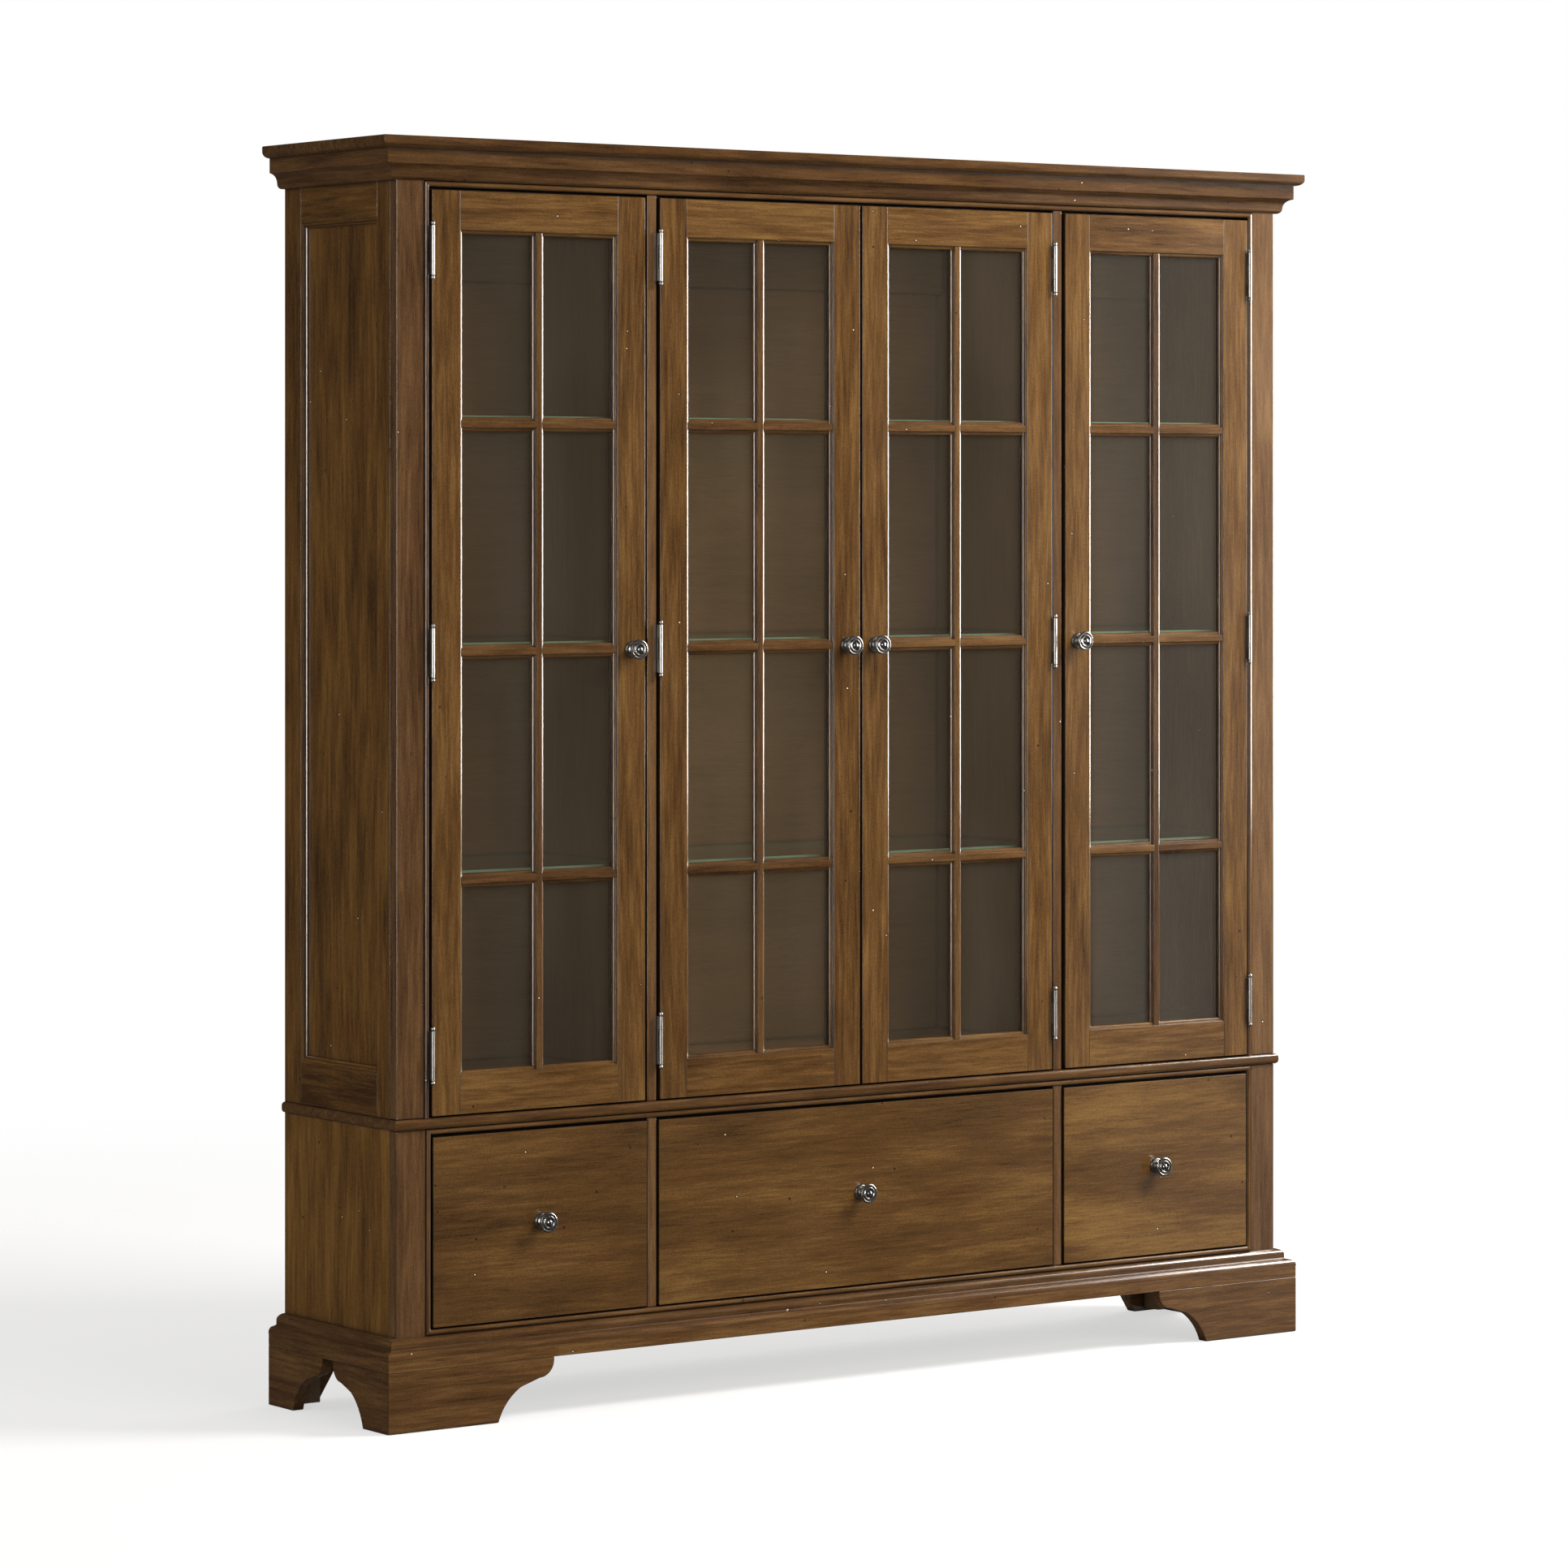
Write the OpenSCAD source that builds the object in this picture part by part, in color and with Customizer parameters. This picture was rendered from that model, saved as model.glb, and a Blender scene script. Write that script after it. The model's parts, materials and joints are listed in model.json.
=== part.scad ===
// China cabinet: a glazed upper case with four doors on a lower case with three drawers.
// Millimetres. X to the right seen from the front, the front faces -Y, Z up from the floor.

/* [Overall] */
// Height from the floor to the top of the cornice
overall_h = 2000; // [1960:5:2100]
// Width of the case over its outer sides
case_w = 1780; // [1740:5:1900]
// Depth of the case from the face of its stiles to its back
case_d = 338; // [330:2:420]
// Thickness of the solid boards in the case
board_t = 20; // [18:1:22]

/* [Cornice] */
// Overhang of the top board past each side of the case
cornice_side = 42; // [42:1:60]
// Overhang of the top board past the face of the stiles
cornice_front = 34; // [32:1:42]
// Thickness of the top board
top_t = 19; // [19:1:24]
// Height of the cornice moulding under the top board
cornice_h = 48; // [48:1:60]

/* [Upper case] */
// Height of the upper face of the waist board
waist_z = 480; // [470:1:500]
// Thickness of the waist board
waist_t = 17; // [14:1:20]
// Overhang of the waist board at the front and at each side
waist_over = 6; // [5:0.5:10]
// Width of the stiles beside the doors
stile_w = 50; // [45:1:60]
// Width of the mullion between an outer and an inner door
mullion_w = 18; // [16:1:24]
// Distance from the middle of the cabinet to the middle of each mullion
mullion_x = 412.5; // [405:0.5:420]
// Height of the upper face of the floor inside
inner_floor_z = 526; // [515:1:535]
// Height of the underside of the ceiling inside
ceiling_z = 1905; // [1900:1:1908]
// Height of the lower edge of the rail across the back
back_rail_z = 1794; // [1750:1:1830]

/* [Side panels] */
// Width of the stile at the back of each side frame
side_back_stile = 50; // [40:1:60]
// Width of the stile at the front of each side frame
side_front_stile = 38; // [30:1:50]
// Height of the bottom rail of each side frame
side_bottom_rail = 69; // [60:1:90]
// Height of the upper edge of each side panel
side_panel_top = 1877; // [1800:1:1890]
// Depth of the side panel behind the face of its frame
panel_recess = 10; // [8:0.5:12]

/* [Beads] */
// Width of the cock beads round the openings
bead_w = 9; // [7:0.5:11]
// How far the beads, the doors and the drawer fronts stand out from the stiles
proud = 3; // [2:0.5:4]

/* [Doors] */
// Thickness of the doors and the drawer fronts
door_t = 20; // [19:0.5:20]
// Gap between each outer door and the bead on its hinge side
hinge_gap = 4; // [4:0.25:5]
// Width of each outer door
outer_door_w = 399.5; // [396:0.5:401]
// Width of each inner door
inner_door_w = 396; // [394:0.5:397]
// Gap between the two inner doors
meeting_gap = 5; // [4:0.25:6]
// Clearance between the doors and the waist board
door_bottom_gap = 2.5; // [2:0.5:5]
// Clearance between the doors and the bead above them
door_top_gap = 4.5; // [3:0.5:7]
// Width of the flat part of a door's stiles
door_stile_w = 51.5; // [45:0.5:58]
// Width of the flat part of a door's rails
door_rail_w = 59.5; // [50:0.5:70]
// Width of the flat front of a muntin
muntin_flat = 8; // [6:0.5:12]
// Distance between the rows of muntins
muntin_pitch = 355.5; // [340:0.5:370]
// Thickness of the door glass
glass_t = 4; // [3:0.5:5]

/* [Shelves] */
// Thickness of the glass shelves
shelf_t = 6; // [5:0.5:8]
// Height of a shelf's upper face over the middle of its row of muntins
shelf_over_muntin = 14; // [10:0.5:20]

/* [Hinges] */
// Radius of the hinge barrels
barrel_r = 3.2; // [3:0.1:3.6]
// Radius of the hinge pins
pin_r = 1.5; // [1.2:0.1:1.8]
// Height of the knuckle in the middle of each hinge
middle_knuckle = 36; // [30:1:40]
// Height of the knuckles at the ends of each hinge
end_knuckle = 20; // [16:1:24]
// Distance from the middle hinge to the upper and the lower hinge
hinge_pitch = 624.5; // [560:0.5:630]
// Distance from the hinge axis back to the face of the doors
axis_out = 5; // [4.5:0.5:6]

/* [Knobs] */
// Radius of the front disc of the knobs
knob_r = 16; // [14:0.5:18]
// Height of the knobs out of the doors and the drawer fronts
knob_h = 26; // [24:0.5:28]
// Distance from the free edge of a door to the middle of its knob
knob_in = 25.75; // [22:0.25:30]

/* [Lower case] */
// Width of the stiles beside the drawers
lower_stile_w = 53; // [48:1:60]
// Height of the lower edge of the drawer fronts
drawer_z = 154.5; // [154:0.5:158]
// Height of the upper edge of the drawer fronts
drawer_top_z = 449.5; // [445:0.5:451]
// Gap between a drawer front and the bead or the post beside it
drawer_gap = 3; // [2:0.5:4]
// Length of the drawer boxes behind their fronts
drawer_len = 280; // [260:5:295]
// Height of the sides of the drawer boxes
drawer_side_h = 230; // [180:5:250]
// Thickness of the sides of the drawer boxes
drawer_side_t = 12; // [10:1:15]
// Room between a drawer box and the case for the slides, at each side
slide_room = 13; // [13:0.5:14]

/* [Base] */
// Overhang of the base past each side of the case
base_side = 30; // [30:1:40]
// Overhang of the base past the face of the stiles
base_front = 24; // [22:1:30]
// Height of the feet
foot_h = 94; // [92:1:110]
// Thickness of the base frame on the feet
base_frame_t = 19; // [16:1:19]
// Width of a front foot seen from the front, at its top
foot_front_w = 306; // [260:1:340]
// Width of a foot seen from the side, at its top
foot_side_w = 165; // [140:1:170]

/* [Hidden] */

wood = [0.40, 0.27, 0.16];
inner_wood = [0.33, 0.23, 0.14];
glass = [0.62, 0.68, 0.62, 0.45];
nickel = [0.75, 0.74, 0.72];
pewter = [0.35, 0.34, 0.33];
dark_plastic = [0.20, 0.15, 0.10];

// Planes across the depth: the whole depth is centred on Y = 0.
depth = case_d + cornice_front;
face_y = -depth / 2 + cornice_front;
back_y = depth / 2;
front_y = face_y - proud;
inner_y = face_y + board_t;
door_back_y = front_y + door_t;

// Planes across the width.
case_x = case_w / 2;
inner_x = case_x - board_t;
stile_x = case_x - stile_w;
opening_x = stile_x - bead_w;
mullion_in = mullion_x - mullion_w / 2;
mullion_out = mullion_x + mullion_w / 2;

// Planes across the height.
top_z = overall_h - top_t;
cornice_z = top_z - cornice_h;
bead_top_z = cornice_z;
waist_bottom_z = waist_z - waist_t;
door_z = waist_z + door_bottom_gap;
door_top_z = bead_top_z - bead_w - door_top_gap;
base_top_z = foot_h + base_frame_t;
muntin_mid_z = (door_z + door_top_z) / 2;

// Open joint left between two boards of one assembly, so that each stays its own solid.
seam = 0.1;

// Back panels.
panel_t = 8;
back_inset = 8;
inner_board_t = 18;
panel_y = back_y - back_inset - panel_t;

// Section of the stick moulding on doors and muntins.
stick_w = 7.5;
stick_d = 10;
muntin_drop = 1.5;
stop_w = 7;
glass_fit = 0.5;

// Hinges.
leaf_t = 1.6;
leaf_w = 19;
knuckle_gap = 0.4;
pin_fit = 0.05;
ball_r = 3.6;
hinge_y = front_y - axis_out;
leaf_relief = barrel_r + 0.5;
inner_hinge_gap = mullion_in - meeting_gap / 2 - inner_door_w;

// Shelves and their pins.
shelf_front_y = inner_y + 6;
shelf_back_y = panel_y - 4;
shelf_end_gap = 2;
shelf_pin_r = 2.5;
shelf_pin_deep = 7;
shelf_pin_out = 9;
pin_front_y = shelf_front_y + 22;
pin_back_y = shelf_back_y - 16;
hole_fit = 0.05;

// Knob screws.
screw_r = 2;
screw_head_r = 4;
screw_head_h = 2.4;
knob_bore_deep = 9;

// Drawers.
drawer_bottom_gap = 2.5;
lower_stile_x = case_x - lower_stile_w;
lower_opening_x = lower_stile_x - bead_w;
lower_bead_z = drawer_z - drawer_bottom_gap - bead_w;
lower_floor_z = lower_bead_z;
bottom_z_in_box = 8;
bottom_t = 6;
box_z = drawer_z + 14;
drawer_knob_z = (drawer_z + drawer_top_z) / 2 + 3;
channel_h = 35;
channel_t = 1.2;
channel_deep = 10;
channel_len = drawer_len - 12;
channel_y = inner_y + 4;
channel_z = box_z + 92;
rail_h = 26;
rail_t = 4;
rail_neck_h = 10;
rail_gap = 0.6;
packer_over = 6;
web_t = 18;
web_w = 57;

// Catches.
catch_size = [34, 14, 12];
catch_in = 34;
strike_size = [26, 1, 16];
catch_gap = 0.6;

// Base.
foot_t = 20;
base_frame_w = 70;
brace_w = 120;
glue_block = 40;

function arc(centre, radius, from, to, steps = 8) = [
    for (i = [0 : steps])
        let (a = from + (to - from) * i / steps)
        centre + [radius.x * cos(a), radius.y * sin(a)]
];
function door_is_outer(n) = n == 1 || n == 4;
function door_w(n) = door_is_outer(n) ? outer_door_w : inner_door_w;
// Left edge of door 1 or 2; doors 3 and 4 are their mirror images.
function door_x(n) = door_is_outer(n) ? -opening_x + hinge_gap : -meeting_gap / 2 - inner_door_w;
function hinge_x(n) = door_x(n) - (door_is_outer(n) ? hinge_gap : inner_hinge_gap) / 2;
// Half the width of the opening for drawer n, and the middle of that opening.
function bay_half(n) = n == 2 ? mullion_in : (lower_opening_x - mullion_out) / 2;
function bay_mid(n) = (n - 2) * (lower_opening_x + mullion_out) / 2;
function catch_x(n) = door_x(n) + door_w(n) - catch_in;
function shelf_z(row) = muntin_mid_z + row * muntin_pitch + shelf_over_muntin;

module block(lo, hi) {
    translate(lo) cube(hi - lo);
}

module both_sides() {
    children();
    mirror([1, 0, 0]) children();
}

module on_side(right) {
    if (right) mirror([1, 0, 0]) children();
    else children();
}

// A strip along +X with its outer edge on Z = 0. The child is its section, [depth, width].
module mitred_strip(length, width, section_d, mitre_start = true, mitre_end = true) {
    start = mitre_start ? seam : 0;
    end = mitre_end ? seam : 0;
    intersection() {
        rotate([90, 0, 90]) linear_extrude(height = length) children();
        translate([0, section_d, 0]) rotate([90, 0, 0]) linear_extrude(height = section_d)
            polygon([[start, 0], [length - end, 0],
                [length - end - (mitre_end ? width : 0), width],
                [start + (mitre_start ? width : 0), width]]);
    }
}

// Strips round a rectangle from lo to hi, [x, z], with their fronts at y.
module strip_ring(lo, hi, y, width, section_d, with_bottom = true) {
    if (with_bottom)
        translate([lo.x, y, lo.y]) mitred_strip(hi.x - lo.x, width, section_d) children();
    translate([hi.x, y, hi.y]) rotate([0, 180, 0])
        mitred_strip(hi.x - lo.x, width, section_d) children();
    translate([lo.x, y, hi.y]) rotate([0, 90, 0])
        mitred_strip(hi.y - lo.y, width, section_d, true, with_bottom) children();
    translate([hi.x, y, lo.y]) rotate([0, -90, 0])
        mitred_strip(hi.y - lo.y, width, section_d, with_bottom, true) children();
}

// Mouldings that wrap the front and both sides. The child is the section: X inwards, Y up.
module wrapped_moulding(out_side, out_front, z) {
    x = case_x + out_side;
    y = face_y - out_front;
    reach = out_front;
    translate([0, 0, z]) {
        intersection() {
            translate([-x, y, 0]) rotate([90, 0, 90]) linear_extrude(height = 2 * x) children();
            translate([0, 0, -1]) linear_extrude(height = 100)
                polygon([[seam - x, y], [x - seam, y], [x - reach - seam, face_y],
                    [reach + seam - x, face_y]]);
        }
        both_sides() intersection() {
            translate([-x, back_y, 0]) rotate([90, 0, 0])
                linear_extrude(height = depth + out_front) children();
            translate([0, 0, -1]) linear_extrude(height = 100)
                polygon([[-x, y], [reach - x, face_y], [reach - x, face_y + seam],
                    [-case_x, face_y + seam], [-case_x, back_y], [-x, back_y]]);
        }
    }
}

// A board with the same edge worked on its front and both ends.
// The child is the edge's section with X = 0 at the nose.
module edged_board(out_side, out_front, z, thickness, edge) {
    x = case_x + out_side;
    y = face_y - out_front;
    translate([0, 0, z]) intersection() {
        rotate([90, 0, 90]) translate([0, 0, -x]) linear_extrude(height = 2 * x)
            polygon(concat([for (p = edge) [y + p.x, p.y]], [[back_y, thickness], [back_y, 0]]));
        translate([0, back_y, 0]) rotate([90, 0, 0]) linear_extrude(height = back_y - y)
            polygon(concat([for (p = edge) [p.x - x, p.y]],
                [for (i = [len(edge) - 1 : -1 : 0]) [x - edge[i].x, edge[i].y]]));
    }
}

// Round-nosed bead: flat back, half-round front.
module bead_section() {
    r = bead_w / 2;
    polygon(concat([[door_t, 0]], arc([r, r], [r, r], 270, 90), [[door_t, bead_w]]));
}

// Stick moulding, [distance into the opening, distance behind the door's face].
function stick_outline(drop = 0) = concat(
    arc([0, drop + 2], [2, 2], -90, 0, 4),
    [[2, drop + 3.6]],
    arc([3, drop + 8.5], [4.5, 4.5], -90, 0, 6),
    [[stick_w, stick_d]]
);

// ---------------------------------------------------------------- top and cornice

module top_board() {
    edge = concat(arc([13, 10], [13, 10], 270, 180), arc([2, top_t - 2], [2, 2], 180, 90, 4));
    color(wood) edged_board(cornice_side, cornice_front, top_z, top_t, edge);
}

module cornice_mouldings() {
    fascia = 14;
    cove = arc([12.6, 9.6], [15, 15], 8, 82);
    ovolo = arc([cornice_side - 6, 8], [8, 8], 270, 180);
    color(wood) wrapped_moulding(cornice_side, cornice_front, cornice_z)
        polygon(concat([[cornice_side, 0]], ovolo, cove,
            [[fascia, 25.5], [fascia, cornice_h], [cornice_side, cornice_h]]));
}

// ---------------------------------------------------------------- upper case

module upper_face_frame() {
    color(wood) {
        both_sides() {
            block([stile_x, face_y, waist_z], [case_x, inner_y, top_z]);
            block([mullion_in, face_y, waist_z], [mullion_out, inner_y, bead_top_z - bead_w]);
        }
        block([seam - stile_x, face_y, bead_top_z], [stile_x - seam, inner_y, top_z]);
    }
}

module upper_beads() {
    color(wood) strip_ring([-stile_x, waist_z], [stile_x, bead_top_z], front_y, bead_w, door_t,
        with_bottom = false) bead_section();
}

module upper_side_frames() {
    front_stile = [inner_y, inner_y + side_front_stile];
    back_stile = [back_y - side_back_stile, back_y];
    color(wood) both_sides() difference() {
        union() {
            for (s = [front_stile, back_stile])
                block([inner_x, s[0], waist_z], [case_x, s[1], top_z]);
            block([inner_x, front_stile[1] + seam, side_panel_top],
                [case_x, back_stile[0] - seam, top_z]);
            block([inner_x, front_stile[1] + seam, waist_z],
                [case_x, back_stile[0] - seam, waist_z + side_bottom_rail]);
        }
        shelf_pin_holes(inner_x);
    }
}

module upper_side_panels() {
    lo = [inner_x, inner_y + side_front_stile, waist_z + side_bottom_rail];
    hi = [case_x - panel_recess, back_y - side_back_stile, side_panel_top];
    color(wood) both_sides() block(lo, hi);
}

// Moulding round each side panel, in three small steps from the frame down to the panel.
module side_panel_mouldings() {
    width = 10;
    rise = panel_recess - 1;
    section = concat(
        [[rise, 0], [0, 0], [0, 1.5]],
        arc([3, 1.5], [3, 3], 180, 90, 5),
        [[4, 4.5], [4, 5.5]],
        arc([8, 5.5], [4, 3], 180, 90, 5),
        [[rise, 8.5], [rise, width]]
    );
    y0 = inner_y + side_front_stile;
    y1 = back_y - side_back_stile;
    z0 = waist_z + side_bottom_rail;
    color(wood) both_sides() translate([1 - case_x, 0, 0]) rotate([0, 0, -90])
        strip_ring([-y1, z0], [-y0, side_panel_top], 0, width, rise) polygon(section);
}

module ceiling_board() {
    color(inner_wood) block([-inner_x, inner_y, ceiling_z],
        [inner_x, panel_y, ceiling_z + inner_board_t]);
}

module upper_floor() {
    color(inner_wood) {
        block([-inner_x, inner_y, inner_floor_z - inner_board_t],
            [inner_x, panel_y, inner_floor_z]);
        block([-inner_x, inner_y, waist_z],
            [inner_x, inner_y + board_t, inner_floor_z - inner_board_t - seam]);
    }
}

module partitions() {
    color(inner_wood) both_sides() difference() {
        block([mullion_in, inner_y, inner_floor_z], [mullion_out, panel_y, ceiling_z]);
        shelf_pin_holes(mullion_out - shelf_pin_deep - 0.5);
        shelf_pin_holes(mullion_in);
    }
}

module upper_back_panel() {
    color(inner_wood) block([-inner_x, panel_y, waist_z], [inner_x, panel_y + panel_t, top_z]);
}

// Rail across the top of the back in each bay, which takes the screws into the wall.
module back_rails() {
    color(inner_wood) for (bay = [[-inner_x, -mullion_out], [-mullion_in, mullion_in],
            [mullion_out, inner_x]])
        block([bay[0], panel_y - inner_board_t, back_rail_z], [bay[1], panel_y, ceiling_z]);
}

// ---------------------------------------------------------------- shelves

module shelf_pin_places() {
    for (row = [-1 : 1], y = [pin_front_y, pin_back_y])
        translate([0, y, shelf_z(row) - shelf_t - shelf_pin_r]) children();
}

module shelf_pin_holes(x) {
    shelf_pin_places() translate([x, 0, 0]) rotate([0, 90, 0])
        cylinder(r = shelf_pin_r + hole_fit, h = shelf_pin_deep + 0.5, $fn = 32);
}

module shelf_pin() {
    rotate([0, 90, 0]) cylinder(r = shelf_pin_r, h = shelf_pin_deep + shelf_pin_out, $fn = 32);
}

module shelf_pins() {
    color(nickel) both_sides() shelf_pin_places() {
        translate([inner_x - shelf_pin_out, 0, 0]) shelf_pin();
        translate([mullion_out - shelf_pin_deep, 0, 0]) shelf_pin();
        translate([mullion_in - shelf_pin_out, 0, 0]) shelf_pin();
    }
}

module glass_shelves() {
    bays = [[-inner_x, -mullion_out], [-mullion_in, mullion_in], [mullion_out, inner_x]];
    color(glass) for (bay = bays, row = [-1 : 1])
        block([bay[0] + shelf_end_gap, shelf_front_y, shelf_z(row) - shelf_t],
            [bay[1] - shelf_end_gap, shelf_back_y, shelf_z(row)]);
}

// ---------------------------------------------------------------- doors

// The stick moulding along +Z, standing out towards +X. It is grown to cut the cope of a
// piece that butts against it.
module stick_bar(length, grow = 0) {
    back = front_y + stick_d + grow;
    linear_extrude(height = length)
        polygon(concat([for (p = stick_outline()) [p.x + grow, front_y + p.y - grow]],
            [[stick_w + grow, back], [-grow, back], [-grow, front_y - grow]]));
}

module door_stile_sticks(n, grow = 0) {
    x0 = door_x(n) + door_stile_w;
    x1 = door_x(n) + door_w(n) - door_stile_w;
    z0 = door_z + door_rail_w + seam - grow;
    z1 = door_top_z - door_rail_w - seam + grow;
    translate([x0, 0, z0]) stick_bar(z1 - z0, grow);
    translate([x1, 0, z0]) mirror([1, 0, 0]) stick_bar(z1 - z0, grow);
}

module door_rail_sticks(n, grow = 0) {
    x0 = door_x(n) + door_stile_w + seam;
    x1 = door_x(n) + door_w(n) - door_stile_w - seam;
    z0 = door_z + door_rail_w;
    z1 = door_top_z - door_rail_w;
    translate([x0, 0, z0]) rotate([0, 90, 0]) mirror([1, 0, 0]) stick_bar(x1 - x0, grow);
    translate([x0, 0, z1]) rotate([0, 90, 0]) stick_bar(x1 - x0, grow);
}

module door_frame(n) {
    x0 = door_x(n);
    x1 = x0 + door_w(n);
    in0 = x0 + door_stile_w;
    in1 = x1 - door_stile_w;
    z0 = door_z + door_rail_w;
    z1 = door_top_z - door_rail_w;
    color(wood) on_side(n > 2) {
        difference() {
            union() {
                block([x0, front_y, door_z], [in0, door_back_y, door_top_z]);
                block([in1, front_y, door_z], [x1, door_back_y, door_top_z]);
                door_stile_sticks(n);
            }
            translate([x1 - knob_in, door_back_y + 1, muntin_mid_z]) rotate([90, 0, 0])
                cylinder(r = screw_r + 0.3, h = door_t + 2, $fn = 32);
        }
        difference() {
            union() {
                block([in0 + seam, front_y, door_z], [in1 - seam, door_back_y, z0]);
                block([in0 + seam, front_y, z1], [in1 - seam, door_back_y, door_top_z]);
                door_rail_sticks(n);
            }
            door_stile_sticks(n, seam);
        }
        glass_stops([in0 + seam, z0 + seam], [in1 - seam, z1 - seam]);
    }
}

// Plain strips that hold the glass in from behind.
module glass_stops(lo, hi) {
    y0 = front_y + stick_d + glass_t + seam;
    strip_ring(lo, hi, y0, stop_w, door_back_y - y0) square([door_back_y - y0, stop_w]);
}

// A whole muntin bar along +Z with its middle on X = 0, grown where it cuts a cope.
module muntin_bar(length, grow = 0) {
    half = stick_outline(muntin_drop);
    flat = muntin_flat / 2 + grow;
    right = [for (p = half) [flat + p.x, front_y + p.y - grow]];
    left = [for (i = [len(half) - 1 : -1 : 0]) [-right[i].x, right[i].y]];
    back = front_y + stick_d + grow;
    linear_extrude(height = length)
        polygon(concat([[left[0].x, back]], left, right, [[-left[0].x, back]]));
}

module door_muntins(n) {
    in0 = door_x(n) + door_stile_w;
    in1 = door_x(n) + door_w(n) - door_stile_w;
    mid = (in0 + in1) / 2;
    z0 = door_z + door_rail_w;
    z1 = door_top_z - door_rail_w;
    color(wood) on_side(n > 2) {
        difference() {
            translate([mid, 0, z0 + seam]) muntin_bar(z1 - z0 - 2 * seam);
            door_rail_sticks(n, seam);
        }
        difference() {
            for (row = [-1 : 1]) translate([in0 + seam, 0, muntin_mid_z + row * muntin_pitch])
                rotate([0, 90, 0]) muntin_bar(in1 - in0 - 2 * seam);
            translate([mid, 0, z0]) muntin_bar(z1 - z0, seam);
            door_stile_sticks(n, seam);
        }
    }
}

module door_glass(n) {
    y0 = front_y + stick_d;
    color(glass) on_side(n > 2) block(
        [door_x(n) + door_stile_w + glass_fit, y0, door_z + door_rail_w + glass_fit],
        [door_x(n) + door_w(n) - door_stile_w - glass_fit, y0 + glass_t,
            door_top_z - door_rail_w - glass_fit]);
}

// ---------------------------------------------------------------- hinges and catches

module hinge_places(n) {
    for (row = [-1 : 1])
        translate([hinge_x(n), hinge_y, muntin_mid_z + row * hinge_pitch]) children();
}

// Knuckle on the hinge axis from z0 to z1, with the part of the leaf that it carries.
// side is 1 for the leaf on the door and -1 for the leaf on the case.
module knuckle(z0, z1, side, leaf_x) {
    difference() {
        union() {
            translate([0, 0, z0]) cylinder(r = barrel_r, h = z1 - z0, $fn = 48);
            on_side(side < 0) block([leaf_x - leaf_t, 0, z0], [leaf_x, leaf_relief, z1]);
        }
        translate([0, 0, z0 - 1]) cylinder(r = pin_r + pin_fit, h = z1 - z0 + 2, $fn = 48);
    }
}

module leaf_plate(side, leaf_x) {
    half = middle_knuckle / 2 + end_knuckle;
    on_side(side < 0)
        block([leaf_x - leaf_t, leaf_relief, -half], [leaf_x, axis_out + leaf_w, half]);
}

module door_hinge_leaf(leaf_x) {
    half = middle_knuckle / 2 - knuckle_gap;
    union() {
        leaf_plate(1, leaf_x);
        knuckle(-half, half, 1, leaf_x);
    }
}

module case_hinge_leaf(leaf_x) {
    lo = middle_knuckle / 2;
    hi = lo + end_knuckle;
    union() {
        leaf_plate(-1, leaf_x);
        knuckle(lo, hi, -1, leaf_x);
        knuckle(-hi, -lo, -1, leaf_x);
    }
}

// Hinge pin with a ball at each end.
module hinge_pin() {
    end = middle_knuckle / 2 + end_knuckle;
    cylinder(r = pin_r, h = 2 * end + 1, center = true, $fn = 48);
    for (turn = [0, 180]) rotate([turn, 0, 0]) translate([0, 0, end + seam / 2])
        rotate_extrude($fn = 48)
        polygon(concat([[0, 0], [2, 0], [2, 0.9]],
            [for (a = [-60 : 15 : 90]) [ball_r * cos(a) * 0.94, 4 + ball_r * sin(a)]]));
}

module case_hinge_leaves() {
    color(nickel) for (n = [1, 2]) both_sides() hinge_places(n) {
        leaf_x = (door_is_outer(n) ? hinge_gap : inner_hinge_gap) / 2;
        case_hinge_leaf(leaf_x);
        hinge_pin();
    }
}

module door_fittings(n) {
    leaf_x = (door_is_outer(n) ? hinge_gap : inner_hinge_gap) / 2;
    color(nickel) on_side(n > 2) {
        hinge_places(n) door_hinge_leaf(leaf_x);
        translate([catch_x(n) - strike_size.x / 2, door_back_y, ceiling_z - catch_size.z / 2
            - strike_size.z / 2]) cube(strike_size);
    }
}

module magnetic_catches() {
    y0 = door_back_y + strike_size.y + catch_gap;
    color(dark_plastic) for (n = [1, 2]) both_sides()
        block([catch_x(n) - catch_size.x / 2, y0, ceiling_z - catch_size.z],
            [catch_x(n) + catch_size.x / 2, y0 + catch_size.y, ceiling_z]);
}

// ---------------------------------------------------------------- knobs

// Half section of a knob: a foot plate, a waist, and a front disc with a ring and a button.
module knob_section() {
    foot_r = knob_r * 0.79;
    face = knob_h - 3.2;
    polygon(concat(
        [[0, 0], [foot_r, 0]],
        arc([foot_r - 1.5, 1.5], [1.5, 1.5], 0, 90, 4),
        [[foot_r * 0.66, 3.6], [6.4, 5]],
        arc([6.4 + 6, 10.5], [6.9, 5.5], 200, 120, 5),
        [[knob_r * 0.9, knob_h - 8]],
        arc([knob_r - 2, knob_h - 5], [2, 2.4], -60, 100, 7),
        [[knob_r - 4, face], [knob_r * 0.68, face]],
        arc([knob_r * 0.57, face], [1.7, 1.7], 0, 180, 6),
        [[knob_r * 0.38, face - 0.4], [5, face]],
        arc([0, face], [4.8, 3.2], 0, 90, 8)
    ));
}

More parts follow.
